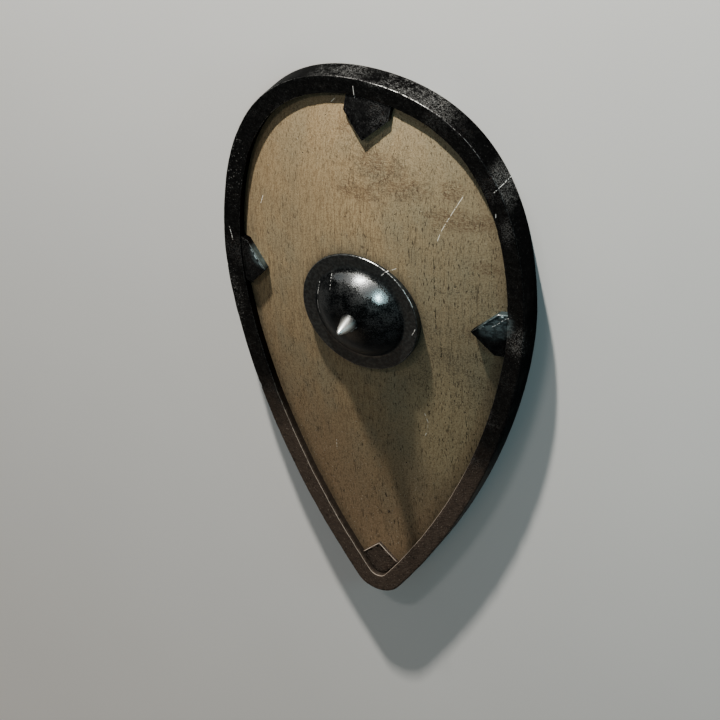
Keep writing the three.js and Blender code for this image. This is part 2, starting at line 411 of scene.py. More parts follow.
# Damage to the board, in millimetres on its plan: each crack's path, half width and depth
CRACKS = [
    ([(114, 204), (114.6, 176), (115, 150), (116.4, 120), (117, 84)], 0.5, 2.2),
    ([(123, 59), (123.6, 34), (123, 9)], 0.42, 1.6),
    ([(144, 185), (145, 150), (145, 122)], 0.34, 1.0),
    ([(194, 218), (195, 179)], 0.3, 0.9),
    ([(174, 53), (174, 20)], 0.34, 1.0),
    ([(153, -70), (153.6, -92), (152.4, -118)], 0.5, 1.8),
    ([(81, -104), (82, -124)], 0.4, 1.2),
    ([(-131, 20), (-130.2, -8), (-131, -34)], 0.34, 1.0),
]
PINHOLES = [
    (-143, 114), (-145, 27), (-128, 31), (-117, 17), (-93, 24), (-125, -15), (-108, -19), (-97, -31),
    (-152, -67), (-189, -34), (-103, 311), (-23, 243), (46, 351), (54, 261), (1, 251), (-180, 206),
    (-69, 378), (101, -30), (105, -48), (-18, -203), (-8, -254), (-67, -315), (56, -185), (63, -256),
]
STREWN_PINHOLES = 70

# Rows of points along a crack, in half widths from its middle, and rings round the middle of a pit, each
# with its share of the pit's radius and its number of points
CRACK_ROWS = [-1.9, -1, -0.4, 0, 0.4, 1, 1.9]
PIT_RINGS = [(0.45, 6), (1.0, 9)]


def make_pits():
    """Pinholes in the face: the ones that stand out, and smaller ones strewn about."""
    dice = np.random.default_rng(11)
    pits = []
    for x, y in PINHOLES:
        pits.append((x * MM, y * MM, dice.uniform(0.9, 1.25) * MM, dice.uniform(1.6, 2.6) * MM))
    while len(pits) < len(PINHOLES) + STREWN_PINHOLES:
        place = dice.uniform([-HALF_WIDTH, TIP_Y], [HALF_WIDTH, TOP_Y])
        off_boss = math.hypot(place[0], place[1] - BOSS_Y) > BOSS_RADIUS + 6 * MM
        if off_boss and abs(place[0]) < half_width_at(place[1]) - 8 * MM:
            pits.append((*place, dice.uniform(0.5, 0.8) * MM, dice.uniform(0.8, 1.6) * MM))
    return pits


PITS = make_pits()


def wood_relief(x, y, seed):
    """Raised grain that runs up the board, with the low waves that a drawknife leaves."""
    fibre = waves(x, y, 0.09, 2.6, 55, seed)
    ridge = waves(x, y, 0.13, 7, 140, seed + 1)
    drawn = waves(x, y, 0.28, 48, 150, seed + 2)
    return fibre + ridge + drawn


def damage_depth(x, y):
    """How deep cracks and pits go below the board's face."""
    depth = np.zeros(np.shape(x))
    open_here = np.clip(rough(x / (30 * MM) + 70, y / (7 * MM) + 70, 41) * 1.6 + 0.95, 0, 1)
    for path, half_width, deepest in CRACKS:
        away, share = distance_to_path(x, y, path)
        taper = np.sqrt(np.clip(np.sin(np.pi * np.clip(share, 0.02, 0.98)), 0, 1)) * open_here
        depth = np.maximum(depth, deepest * MM * taper * np.clip(1 - away / (half_width * MM), 0, 1))
    for pit_x, pit_y, radius, deepest in PITS:
        close = (np.abs(x - pit_x) < radius) & (np.abs(y - pit_y) < radius)
        away = np.hypot(x[close] - pit_x, y[close] - pit_y) / radius
        depth[close] = np.maximum(depth[close], deepest * np.clip(1 - away, 0, 1))
    return depth


def board_surface(x, y):
    return board_face(x, y) + wood_relief(x, y, 21) - damage_depth(x, y)


def board_back_surface(x, y):
    return board_back(x, y) + wood_relief(x, y, 31)


def damage_points():
    """Points that carry the damage: rows along each crack, and rings round the middle of each pit."""
    points = []
    for path, half_width, _ in CRACKS:
        path = np.array(path) * MM
        length = length_along(path)[-1]
        middle = points_along(path, np.linspace(0, length, round(length / (2.5 * MM))))
        for side in CRACK_ROWS:
            points.append(middle + [side * half_width * MM, 0])
    for pit_x, pit_y, radius, _ in PITS:
        points.append(np.array([[pit_x, pit_y]]))
        for reach, count in PIT_RINGS:
            points.append(circle(pit_x, pit_y, reach * radius, count))
    return np.vstack(points)


def shelter(vertices):
    """1 on the board against the rim and the boss, where painted shade with dirt darkens it, 0 in the
    open.
    """
    x, y, _ = vertices.T
    from_rim = distances(vertices[:, :2], DISH_EDGE)
    from_boss = np.abs(np.hypot(x, y - BOSS_Y) - BOSS_RADIUS)
    return np.exp(-np.minimum(from_rim / (9 * MM), from_boss / (7 * MM)))


def clear_of_hand_hole(points, margin):
    away = np.hypot(points[:, 0], points[:, 1] - BOSS_Y)
    return points[away > HAND_HOLE_RADIUS + margin]


def make_board():
    loop = outline_inset(RIM_SHEET + EDGE_CLEARANCE)
    hand_hole = circle(0, BOSS_Y, HAND_HOLE_RADIUS, HAND_HOLE_STEPS)
    edge_rows = [
        (1.2 * MM, 0, 0, 0),
        (0.3 * MM, 0, 0.4 * MM, 0),
        (0, 0, 1.3 * MM, 0),
        (0, 1, -1.0 * MM, 0),
        (1.0 * MM, 1, 0, 0),
    ]
    damaged = damage_points()
    face_points = clear_of_hand_hole(scattered_inside(loop, FACE_MESH, 2 * MM), 2 * MM)
    face_points = np.vstack([clear_of(face_points, damaged, 0.8 * MM), damaged])
    back_points = clear_of_hand_hole(scattered_inside(loop, BACK_MESH, 3.5 * MM), 3.5 * MM)
    return make_slab(
        "board_wood", [loop, hand_hole], edge_rows, face_points, back_points,
        board_surface, board_back_surface, sharp_angle=40,
        shelter=shelter, damage=lambda vertices: damage_depth(*vertices.T[:2]) / (1.2 * MM),
    )


def rounded_section(corners, spacing):
    """A section of square corners, each given with its rounding, as points close enough to bend."""
    count = len(corners)
    points = []
    for number, (inwards, height, radius) in enumerate(corners):
        corner = np.array([inwards, height])
        before = np.array(corners[number - 1][:2]) - corner
        after = np.array(corners[(number + 1) % count][:2]) - corner
        start = corner + before / np.linalg.norm(before) * radius
        end = corner + after / np.linalg.norm(after) * radius
        middle = start + end - corner
        for turn in np.linspace(0, math.pi / 2, 5 if radius > MM else 3):
            points.append(middle + (start - middle) * math.cos(turn) + (end - middle) * math.sin(turn))
    filled = []
    for here, there in zip(points, points[1:] + points[:1]):
        pieces = max(1, math.ceil(np.linalg.norm(there - here) / spacing))
        filled += [lerp(here, there, piece / pieces) for piece in range(pieces)]
    return np.array(filled)


def make_rim():
    """The rim's channel carried round the outline, uneven from the hammer, its front arrises nicked."""
    front_lip = BOARD_EDGE_FRONT + SEAT_GAP
    back_lip = board_low.z - SEAT_GAP
    fine = 0.6 * MM
    section = rounded_section([
        (0, 0, RIM_BACK_ROUND),
        (0, RIM_DEPTH, RIM_ROUND),
        (RIM_WIDTH, RIM_DEPTH, RIM_ROUND * 0.8),
        (RIM_WIDTH, front_lip, fine),
        (RIM_WIDTH - RIM_SHEET, front_lip, fine),
        (RIM_WIDTH - RIM_SHEET, RIM_DEPTH - RIM_SHEET, fine),
        (RIM_SHEET, RIM_DEPTH - RIM_SHEET, fine),
        (RIM_SHEET, RIM_SHEET, fine),
        (RIM_BACK_WIDTH - RIM_SHEET, RIM_SHEET, fine),
        (RIM_BACK_WIDTH - RIM_SHEET, back_lip, fine),
        (RIM_BACK_WIDTH, back_lip, fine),
        (RIM_BACK_WIDTH, 0, RIM_BACK_ROUND),
    ], 4.5 * MM)
    inwards, height = section.T
    around = len(section)
    x = OUTLINE[:, :1] - OUTWARDS[:, :1] * inwards
    y = OUTLINE[:, 1:] - OUTWARDS[:, 1:] * inwards
    z = np.repeat(height[None, :], len(OUTLINE), axis=0)
    off_outer = np.hypot(inwards, height - RIM_DEPTH)
    off_inner = np.hypot(inwards - RIM_WIDTH, height - RIM_DEPTH)
    on_arris = np.exp(-(np.minimum(off_outer, off_inner) / (2.1 * MM)) ** 2)
    upper = np.clip(height / RIM_DEPTH, 0, 1)
    sideways = (waves(x, y, 0.30, 23, 23, 51, 40) + waves(x, y, 0.16, 8, 8, 52, 90)) * upper
    lift = (waves(x, y, 0.32, 19, 19, 53, 60) + waves(x, y, 0.14, 7, 7, 54, 10)) * upper**2
    nick = np.clip(rough(x / (6 * MM) + 30, y / (6 * MM) + 30, 55) - 0.62, 0, 1) * 2.4 * MM * on_arris
    aside = sideways - nick * np.sign(off_inner - off_outer)
    x = x + OUTWARDS[:, :1] * aside
    y = y + OUTWARDS[:, 1:] * aside
    z = z + lift - nick
    vertices = np.column_stack([x.ravel(), y.ravel(), np.maximum(z, 0).ravel()])
    worn = np.repeat(on_arris[None, :], len(OUTLINE), axis=0).ravel()
    inner = np.tile(off_inner < off_outer, len(OUTLINE))
    # The rim's inner wall, which gets painted shade
    inner_wall = (np.abs(inwards - RIM_WIDTH) < 0.1 * MM) & (height < RIM_DEPTH - RIM_ROUND)
    return make_piece(
        "rim_iron", vertices, swept_faces(len(OUTLINE), around), worn,
        inner_edge=inner, sheltered=np.tile(inner_wall, len(OUTLINE)),
    )


def cut_by_line(loop, corner, outward):
    """The part of a closed loop that a straight cut leaves, outward pointing to what is cut away."""
    kept = []
    beyond = (loop - corner) @ outward
    following = zip(loop, np.roll(loop, -1, axis=0), beyond, np.roll(beyond, -1))
    for here, there, out_here, out_there in following:
        if out_here <= 0:
            kept.append(here)
        if (out_here <= 0) != (out_there <= 0):
            kept.append(lerp(here, there, out_here / (out_here - out_there)))
    return np.array(kept)


def evened(loop, spacing):
    """A closed loop at even steps between its corners."""
    loop = loop[np.linalg.norm(np.roll(loop, -1, axis=0) - loop, axis=1) > 1e-6]
    edge = np.roll(loop, -1, axis=0) - loop
    heading = np.arctan2(edge[:, 1], edge[:, 0])
    turn = np.abs((heading - np.roll(heading, 1) + math.pi) % (2 * math.pi) - math.pi)
    corners = np.flatnonzero(turn > math.radians(20))
    closed = np.roll(loop, -corners[0], axis=0)
    closed = np.vstack([closed, closed[:1]])
    corners = [*(corners - corners[0]), len(loop)]
    filled = []
    for start, end in zip(corners[:-1], corners[1:]):
        stretch = closed[start : end + 1]
        length = length_along(stretch)[-1]
        even = np.linspace(0, length, max(2, round(length / spacing)), endpoint=False)
        filled.append(points_along(stretch, even))
    return np.vstack(filled)


def make_tab(name, root, turn, shoulder, thickness, seed):
    """A pointed plate bent to the board, its root fitted to the rim's inner wall. At turn 0 it points
    along +Y, and turns to the left from there."""
    root = np.array(root)
    into = np.array([-math.sin(turn), math.cos(turn)])
    aside = np.array([into[1], -into[0]])
    rim_wall = outline_inset(RIM_WIDTH + SEAT_GAP)
    loop = rim_wall
    tip = root + into * (shoulder + TAB_POINT_LENGTH)
    for side in (-1, 1):
        loop = cut_by_line(loop, root + aside * side * TAB_HALF_WIDTH, aside * side)
        slope = aside * side * TAB_POINT_LENGTH + into * TAB_HALF_WIDTH
        loop = cut_by_line(loop, tip, slope / np.linalg.norm(slope))
    loop = evened(loop, 3.0 * MM)
    beside_round = TAB_ROUND + 1.2 * MM
    edge_rows = [(0, 0, 0, 0), (0, 0.5, 0, 0), (0, 1, -beside_round, 0)]
    for bend, wear in TAB_BENDS:
        bend = math.radians(bend)
        edge_rows.append((TAB_ROUND * (1 - math.cos(bend)), 1, -TAB_ROUND * (1 - math.sin(bend)), wear))
    edge_rows.append((beside_round, 1, 0, 0))

    def face(x, y):
        beaten = waves(x, y, 0.28, 13, 13, seed) + waves(x, y, 0.1, 5, 5, seed + 1)
        return board_face(x, y) + thickness + beaten

    def back(x, y):
        return board_face(x, y) + SEAT_GAP

    def off_rim(vertices):
        return np.clip(distances(vertices[:, :2], rim_wall) / (2.5 * MM) - 0.6, 0, 1)

    inner = loop - left_normals(loop) * beside_round
    face_points = scattered_inside(inner, (TAB_MESH, TAB_MESH), TAB_MESH / 2)
    back_points = scattered_inside(loop, (TAB_BACK_MESH, TAB_BACK_MESH), TAB_BACK_MESH / 3)
    return make_slab(
        f"{name}_iron", [loop], edge_rows, face_points, back_points, face, back, inner_edge=off_rim
    )


def boss_profile():
    """The boss from spike tip to lip and back inside to its middle: radius, height, wear, and how far it
    hangs down to the board there. Gives its crown's height too."""
    seat = board_face(0.0, BOSS_Y + HAND_HOLE_RADIUS) + SEAT_GAP
    flange = seat + BOSS_SHEET
    crown = flange + DOME_HEIGHT
    outside = (DOME_RADIUS**2 + DOME_HEIGHT**2) / (2 * DOME_HEIGHT)
    inner_base = DOME_RADIUS - BOSS_SHEET
    inner_height = DOME_HEIGHT - BOSS_SHEET
    hollow = (inner_base**2 + inner_height**2) / (2 * inner_height)
    profile = []
    for step in np.linspace(0.06, 0.98, 26):
        down = step**2
        cone = SPIKE_FOOT_RADIUS * down**SPIKE_SWELL + SPIKE_FLARE * down**SPIKE_FLARE_BEND
        profile.append((cone, crown + SPIKE_HEIGHT * (1 - down), 2 - 0.8 * down, 0))
    first = math.asin((SPIKE_FOOT_RADIUS + SPIKE_FLARE) / outside)
    last = math.asin((DOME_RADIUS - CREASE_RADIUS) / outside)
    for angle in np.linspace(first, last, 38):
        height = crown - outside * (1 - math.cos(angle))
        profile.append((outside * math.sin(angle), height, 0, 0))
    above = np.array(profile[-1][:2])
    corner = np.array([DOME_RADIUS, flange])
    below = np.array([DOME_RADIUS + CREASE_RADIUS, flange])
    for share in np.linspace(0.2, 1, 5):
        point = lerp(lerp(above, corner, share), lerp(corner, below, share), share)
        profile.append((*point, 0, 0))
    lip_round = BOSS_SHEET / 2
    for radius in np.linspace(below[0] + 2 * MM, BOSS_RADIUS - lip_round - 1.4 * MM, 8):
        profile.append((radius, flange, 0, 0))
    for bend, wear in LIP_BENDS:
        angle = math.radians(bend)
        height = flange - lip_round * (1 - math.cos(angle))
        profile.append((BOSS_RADIUS - lip_round * (1 - math.sin(angle)), height, wear, 0))
    for down in np.linspace(0.12, 1, 8):
        profile.append((BOSS_RADIUS, flange - lip_round, 0, down))
    for down in (1, 0.4):
        profile.append((BOSS_RADIUS - BOSS_SHEET, flange - lip_round, 0, down))
    for radius in np.linspace(BOSS_RADIUS - BOSS_SHEET, inner_base, 6):
        profile.append((radius, seat, 0, 0))
    for angle in np.linspace(math.asin(inner_base / hollow), 0.02, 26):
        height = crown - BOSS_SHEET - hollow * (1 - math.cos(angle))
        profile.append((hollow * math.sin(angle), height, 0, 0))
    return np.array(profile), crown


def make_boss():
    profile, crown = boss_profile()
    turn = np.linspace(0, 2 * math.pi, BOSS_STEPS, endpoint=False)
    radius, height, wear, drop = profile.T
    x = radius[:, None] * np.cos(turn)
    y = BOSS_Y + radius[:, None] * np.sin(turn)
    z = np.repeat(height[:, None], BOSS_STEPS, axis=1)
    lip = board_face(x, y) + SEAT_GAP
    z = lerp(z, np.minimum(z, lip), drop[:, None])
    beaten = waves(x, y, 0.16, 17, 17, 71) + waves(x, y, 0.05, 6, 6, 72)
    z = z + beaten * np.clip((BOSS_RADIUS - 4 * MM - radius) / (10 * MM), 0, 1)[:, None]
    vertices = np.column_stack([x.ravel(), y.ravel(), z.ravel()])
    faces = swept_faces(len(profile), BOSS_STEPS, close_rows=False)
    tip = len(vertices)
    vertices = np.vstack([vertices, [0, BOSS_Y, crown + SPIKE_HEIGHT], [0, BOSS_Y, crown - BOSS_SHEET]])
    inner_row = (len(profile) - 1) * BOSS_STEPS
    for step in range(BOSS_STEPS):
        beside = (step + 1) % BOSS_STEPS
        faces.append((tip, step, beside))
        faces.append((tip + 1, inner_row + beside, inner_row + step))
    worn = np.concatenate([np.repeat(wear, BOSS_STEPS), [2, 0]])
    return make_piece("boss_iron", vertices, faces, worn)


def make_grip():
    """The turned bar of the grip, with tool rings, its ends pared to fit the board's back."""
    around = GRIP_STEPS_AROUND
    share = np.linspace(-1, 1, GRIP_STEPS)
    swell = np.cos(math.pi / 2 * share) ** 2
    radius = lerp(GRIP_END_RADIUS, GRIP_MIDDLE_RADIUS, swell)
    to_end = (1 - np.abs(share)) * GRIP_HALF_LENGTH
    dip = np.clip(1 - to_end / GRIP_END_ROUND, 0, 1)
    radius = radius - GRIP_END_ROUND * (1 - np.sqrt(1 - dip**2))
    radius = radius + TOOL_RING_DEPTH * np.sin(share * TOOL_RING_PHASE) * (to_end > 2 * GRIP_END_ROUND)
    x = np.repeat(share[:, None] * GRIP_HALF_LENGTH, around, axis=1)
    turn = np.linspace(0, 2 * math.pi, around, endpoint=False)
    uneven = 1 + 0.012 * rough(x / (22 * MM), 6 * np.sin(turn) + 8, 81)
    y = BOSS_Y + radius[:, None] * np.cos(turn) * uneven
    z = GRIP_AXIS_Z + radius[:, None] * np.sin(turn) * uneven
    on_board = np.hypot(x, y - BOSS_Y) > HAND_HOLE_RADIUS - 1 * MM
    z = np.where(on_board, np.minimum(z, board_back(x, y) - SEAT_GAP), z)
    vertices = np.column_stack([x.ravel(), y.ravel(), z.ravel()])
    faces = swept_faces(GRIP_STEPS, around, close_rows=False)
    last = (GRIP_STEPS - 1) * around
    faces.append(tuple(range(around)))
    faces.append(tuple(range(last + around - 1, last - 1, -1)))
    return make_piece("hand_grip_wood", vertices, faces, np.zeros(len(vertices)))


# Finishes


class Wire:
    """A value that runs through a finish's nodes. Sums written with it add Math nodes."""

    def __init__(self, finish, socket):
        self.finish = finish
        self.socket = socket

    def __add__(self, other):
        return self.finish.math("ADD", self, other)

    def __sub__(self, other):
        return self.finish.math("SUBTRACT", self, other)

    def __rsub__(self, other):
        return self.finish.math("SUBTRACT", other, self)

    def __mul__(self, other):
        return self.finish.math("MULTIPLY", self, other)

    def __truediv__(self, other):
        return self.finish.math("DIVIDE", self, other)

    def __rtruediv__(self, other):
        return self.finish.math("DIVIDE", other, self)

    def __abs__(self):
        return self.finish.math("ABSOLUTE", self)

    __radd__ = __add__
    __rmul__ = __mul__


class Finish:
    """A material under way, with its nodes and the places that they read on the object."""

    def __init__(self, name):
        self.material = bpy.data.materials.new(name)
        self.material.use_nodes = True
        self.tree = self.material.node_tree
        self.tree.nodes.clear()
        self.place = self.node("ShaderNodeTexCoord", output="Object")
        apart = self.node("ShaderNodeSeparateXYZ", inputs={"Vector": self.place}, output=None)
        self.x, self.y = (Wire(self, socket) for socket in apart.outputs[:2])

    def node(self, kind, settings=None, inputs=None, output=0):
        """Adds a node: settings first, then values or links. Gives an output, or for None the node."""
        node = self.tree.nodes.new(kind)
        for name, value in (settings or {}).items():
            setattr(node, name, value)
        for name, value in (inputs or {}).items():
            socket = self.find(node.inputs, name)
            if isinstance(value, Wire):
                self.tree.links.new(value.socket, socket)
            else:
                socket.default_value = value
        return node if output is None else Wire(self, self.find(node.outputs, output))

    @staticmethod
    def find(sockets, name):
        """A socket by its number, or the one in use by its name."""
        if isinstance(name, int):
            return sockets[name]
        return next(socket for socket in sockets if socket.enabled and socket.name == name)

    def math(self, operation, *values):
        return self.node("ShaderNodeMath", {"operation": operation}, dict(enumerate(values)))

    def mix(self, share, low, high, blend="MIX"):
        """A colour between two colours."""
        return self.node(
            "ShaderNodeMix", {"data_type": "RGBA", "blend_type": blend},
            {"Factor": share, "A": low, "B": high}, "Result",
        )

    def blend(self, share, low, high):
        """A number between two numbers."""
        return self.node(
            "ShaderNodeMix", {"data_type": "FLOAT"}, {"Factor": share, "A": low, "B": high}, "Result"
        )

    def step(self, value, start, end):
        """0 up to start and 1 from end on, with a soft rise between them."""
        return self.node(
            "ShaderNodeMapRange", {"interpolation_type": "SMOOTHSTEP"},
            {"Value": value, "From Min": start, "From Max": end}, "Result",
        )

    def noise(self, per_metre, detail=2.0, roughness=0.5, moved=(0, 0, 0), curl=0.0):
        """Cloudy values around 0.5. per_metre is how often they change along X, Y and Z."""
        if not isinstance(per_metre, tuple):
            per_metre = (per_metre,) * 3
        place = self.node(
            "ShaderNodeMapping", {"vector_type": "POINT"},
            {"Vector": self.place, "Location": moved, "Scale": per_metre},
        )
        amounts = {"Scale": 1.0, "Detail": detail, "Roughness": roughness, "Distortion": curl}
        return self.node(
            "ShaderNodeTexNoise", {"noise_dimensions": "3D"}, {"Vector": place, **amounts}, "Fac"
        )

    def field(self, name):
        """A value that the mesh carries at its points."""
        return self.node("ShaderNodeAttribute", {"attribute_name": name}, output="Fac")

    def uprightness(self):
        """1 on walls that stand upright, 0 on level faces."""
        facing = self.node("ShaderNodeTexCoord", output="Normal")
        upwards = self.node("ShaderNodeSeparateXYZ", inputs={"Vector": facing}, output="Z")
        return 1 - self.step(abs(upwards), 0.3, 0.75)

    def spot(self, x, y, reach_x, reach_y):
        """1 in the middle of a soft patch placed in millimetres on the plan, 0 outside it."""
        across = (self.x - x * MM) / (reach_x * MM)
        along = (self.y - y * MM) / (reach_y * MM)
        return 1 - self.step(across * across + along * along, 0.0, 1.0)

    def spots(self, places):
        """1 in the middle of any of these soft patches."""
        return self.most(*[self.spot(*place) for place in places])

    def scratch(self, path, half_width, waver, broken):
        """1 along a thin path, in millimetres on the plan, that sways by waver and skips here and there:
        broken is how often, per metre."""
        sway = (self.noise(90, 1, moved=(3, 1, 4)) - 0.5) * (2 * waver * MM)
        stretches = []
        for (ax, ay), (bx, by) in zip(path[:-1], path[1:]):
            length = math.hypot(bx - ax, by - ay)
            ux, uy = (bx - ax) / length, (by - ay) / length
            from_x = self.x - ax * MM
            from_y = self.y - ay * MM
            along = from_x * ux + from_y * uy
            aside = abs(from_x * uy - from_y * ux + sway)
            near = 1 - self.step(aside, half_width * 0.5 * MM, half_width * 1.5 * MM)
            started = self.step(along, -0.5 * MM, 1.5 * MM)
            ended = 1 - self.step(along, (length - 1.5) * MM, (length + 0.5) * MM)
            stretches.append(near * started * ended)
        return self.most(*stretches) * self.step(self.noise(broken, 1, moved=(8, 2, 6)), 0.42, 0.55)

    def scratches(self, lines, waver, broken):
        """1 along any of several scratches, each given by its path and half width."""
        return self.most(*[self.scratch(path, half_width, waver, broken) for path, half_width in lines])

    def most(self, *values):
        """The highest of several values."""
        highest = values[0]
        for value in values[1:]:
            highest = self.math("MAXIMUM", highest, value)
        return highest

    def surface(self, height=None, depth=0.2 * MM, strength=1.0, **sockets):
        """Ends the finish with its shader. height is a relief that stands up to depth."""
        inputs = {name.replace("_", " "): value for name, value in sockets.items()}
        if height is not None:
            inputs["Normal"] = self.node(
                "ShaderNodeBump", inputs={"Height": height, "Distance": depth, "Strength": strength}
            )
        shader = self.node("ShaderNodeBsdfPrincipled", inputs=inputs)
        self.node("ShaderNodeOutputMaterial", inputs={"Surface": shader}, output=None)
        return self.material


PALE_WOOD = (0.425, 0.318, 0.178, 1)
WARM_WOOD = (0.225, 0.155, 0.082, 1)
GREY_WOOD = (0.250, 0.222, 0.145, 1)
BROWN_WOOD = (0.262, 0.162, 0.092, 1)
GRAIN_SHADE = (0.50, 0.46, 0.42, 1)
WOOD_TICK = (0.045, 0.030, 0.018, 1)
WOOD_STAIN = (0.092, 0.050, 0.026, 1)
WOOD_DIRT_AND_SHADE = (0.070, 0.056, 0.036, 1)
SCORED_WOOD = (0.95, 0.88, 0.74, 1)
CRACK_DARK = (0.008, 0.006, 0.005, 1)

# Places on the face, in millimetres: middle and reach of patches, and path and half width of scratches
STAINS = [
    (-36, 372, 18, 18), (-8, 282, 64, 20), (150, 266, 74, 26), (136, 312, 26, 26), (56, 304, 70, 32),
    (186, 196, 30, 15), (24, 330, 56, 34),
]
SMUDGES = [
    (113, 153, 14, 10), (147, 151, 16, 9), (170, 62, 60, 150), (30, 320, 90, 70), (120, 20, 70, 120),
]
SHADED_WARM_CORNER = (-140, 330, 160, 200)
PAINTED_LIGHT_FLANK = (125, -110, 80, 150)
SCORES = [
    ([(151, 306), (132, 267), (123, 247), (117, 227)], 0.38),
    ([(-42.7, 423), (-54, 409), (-65, 395)], 0.5),
    ([(-179, 213), (-184, 197)], 0.5),
    ([(92, -78), (96, -94), (95, -110), (88, -127)], 0.45),
    ([(-65, -184), (-66, -207)], 0.4),
    ([(49, 169), (59, 175)], 0.4),
]
CREASE_ACROSS = [(113, 149), (126, 147), (138, 148), (152, 154)]


def board_finish():
    """Pale straight-grained wood: fibres, dark pores, rust-brown stains, dirt, scores, cracks, painted
    shade and light.
    """
    wood = Finish("weathered_board_wood")
    fibre = wood.noise((380, 22, 380), 3, 0.7)
    fine = wood.noise((800, 110, 800), 2, 0.6, (7, 0, 2))
    band = wood.noise((24, 1.6, 24), 3, 0.5, (1, 5, 0))
    blotch = wood.noise((17, 10, 17), 3, 0.6, (6, 1, 2))
    grit = wood.noise(430, 2, 0.6, (4, 4, 4))
    colour = wood.mix(wood.step(fibre * 0.6 + fine * 0.4, 0.4, 0.6), WARM_WOOD, PALE_WOOD)
    colour = wood.mix(wood.step(band, 0.42, 0.66) * 0.3, colour, GREY_WOOD)
    colour = wood.mix(wood.step(blotch, 0.44, 0.66) * 0.4, colour, GREY_WOOD)
    # Greyer towards the right: painted cool light
    to_the_right = wood.step(wood.x + blotch * 0.1, 0.03, 0.2)
    colour = wood.mix(to_the_right * 0.5, colour, GREY_WOOD)
    # Darker and browner towards the tip: painted shade with a painted warm cast
    low = 1 - wood.step(wood.y + wood.x * 0.5 + blotch * 0.14, -0.34, 0.06)
    colour = wood.mix(low * 0.65, colour, BROWN_WOOD)
    # A darker, warmer patch on the upper left: painted shade
    colour = wood.mix(wood.spot(*SHADED_WARM_CORNER) * 0.32, colour, WARM_WOOD)
    # A paler patch on the lower right flank: painted light
    colour = wood.mix(wood.spot(*PAINTED_LIGHT_FLANK) * 0.75, colour, PALE_WOOD)
    colour = wood.mix(wood.step(grit, 0.46, 0.6) * 0.5, colour, GRAIN_SHADE, "MULTIPLY")
    shaded = wood.step(fibre * 0.5 + fine * 0.5, 0.5, 0.57) * (low * 0.35 + to_the_right * 0.3 + 0.3)
    colour = wood.mix(shaded, colour, GRAIN_SHADE, "MULTIPLY")
    pores = wood.step(wood.noise((520, 100, 520), 1, 0.4, (5, 5, 5)), 0.63, 0.69)
    hairs = abs(wood.noise((150, 3.2, 150), 1, 0.4, (2, 6, 3)) - 0.5)
    haired = wood.step(wood.noise((60, 16, 60), 2, 0.6, (9, 9, 1)), 0.46, 0.58)
    hairs = (1 - wood.step(hairs, 0.002, 0.009)) * haired
    spread = wood.step(blotch, 0.36, 0.62) * 0.4 + low * 0.35 + to_the_right * 0.3 + 0.25
    ticks = wood.most(pores * spread, hairs * 0.75)
    colour = wood.mix(ticks, colour, WOOD_TICK)
    flecks = wood.step(wood.noise(400, 1, 0.5, (1, 8, 8)), 0.7, 0.76) * (low * 0.2 + 0.12)
    colour = wood.mix(flecks, colour, SCORED_WOOD)
    strokes = abs(wood.noise((80, 330, 80), 2, 0.6, (3, 3, 8), 1.2) - 0.5)
    strokes = 1 - wood.step(strokes, 0.015, 0.07)
    clouds = wood.noise(34, 3, 0.6, (6, 1, 2))
    flaked = wood.noise(75, 3, 0.65, (5, 2, 7))
    stained = wood.step(wood.spots(STAINS) * 0.8 + flaked * 2, 1.2, 1.8)
    colour = wood.mix(stained * (strokes * 0.72 + 0.06), colour, WOOD_STAIN)
    smudged = wood.spots(SMUDGES) * wood.step(clouds, 0.4, 0.64)
    colour = wood.mix(smudged * (wood.step(grit, 0.44, 0.6) * 0.5 + 0.1), colour, WOOD_DIRT_AND_SHADE)
    crease = wood.scratch(CREASE_ACROSS, 1.3, 2.4, 130)
    colour = wood.mix(crease * 0.6, colour, WOOD_DIRT_AND_SHADE)
    # Painted shade, with dirt, darkens the board against the rim and the boss
    gathered_shade_and_dirt = wood.field("shelter") * (wood.noise(120, 2, 0.6, (9, 3, 1)) * 0.9 + 0.35)
    colour = wood.mix(gathered_shade_and_dirt * 0.8, colour, WOOD_DIRT_AND_SHADE)
    colour = wood.mix(wood.scratches(SCORES, 0.5, 170) * 0.95, colour, SCORED_WOOD)
    # Cracks and pits near black: painted shade in their hollows
    opened = wood.step(wood.field("damage"), 0.05, 0.4)
    colour = wood.mix(opened, colour, CRACK_DARK)
    relief = fibre * 0.5 + fine * 0.3 + grit * 0.15 - ticks * 0.6
    roughness = wood.blend(fibre, 0.62, 0.86)
    return wood.surface(
        relief, 0.32 * MM, Base_Color=colour, Roughness=roughness, Specular_IOR_Level=0.25
    )


BLACK_IRON = (0.006, 0.006, 0.0065, 1)
DULL_IRON = (0.018, 0.0185, 0.0185, 1)
SOOT = (0.0015, 0.0015, 0.0015, 1)
BARE_IRON = (0.25, 0.25, 0.245, 1)
COOL_IRON = (0.20, 0.27, 0.285, 1)
BRIGHT_IRON = (0.85, 0.85, 0.83, 1)
RUST = (0.045, 0.020, 0.012, 1)
BROWN_IRON = (0.040, 0.028, 0.021, 1)
PALE_BROWN = (0.090, 0.068, 0.054, 1)
BROWN_EDGE = (0.50, 0.42, 0.35, 1)
GLANCING = (0.5, 0.5, 0.5, 1)
SHADED_WALL_IRON = (0.016, 0.012, 0.009, 1)

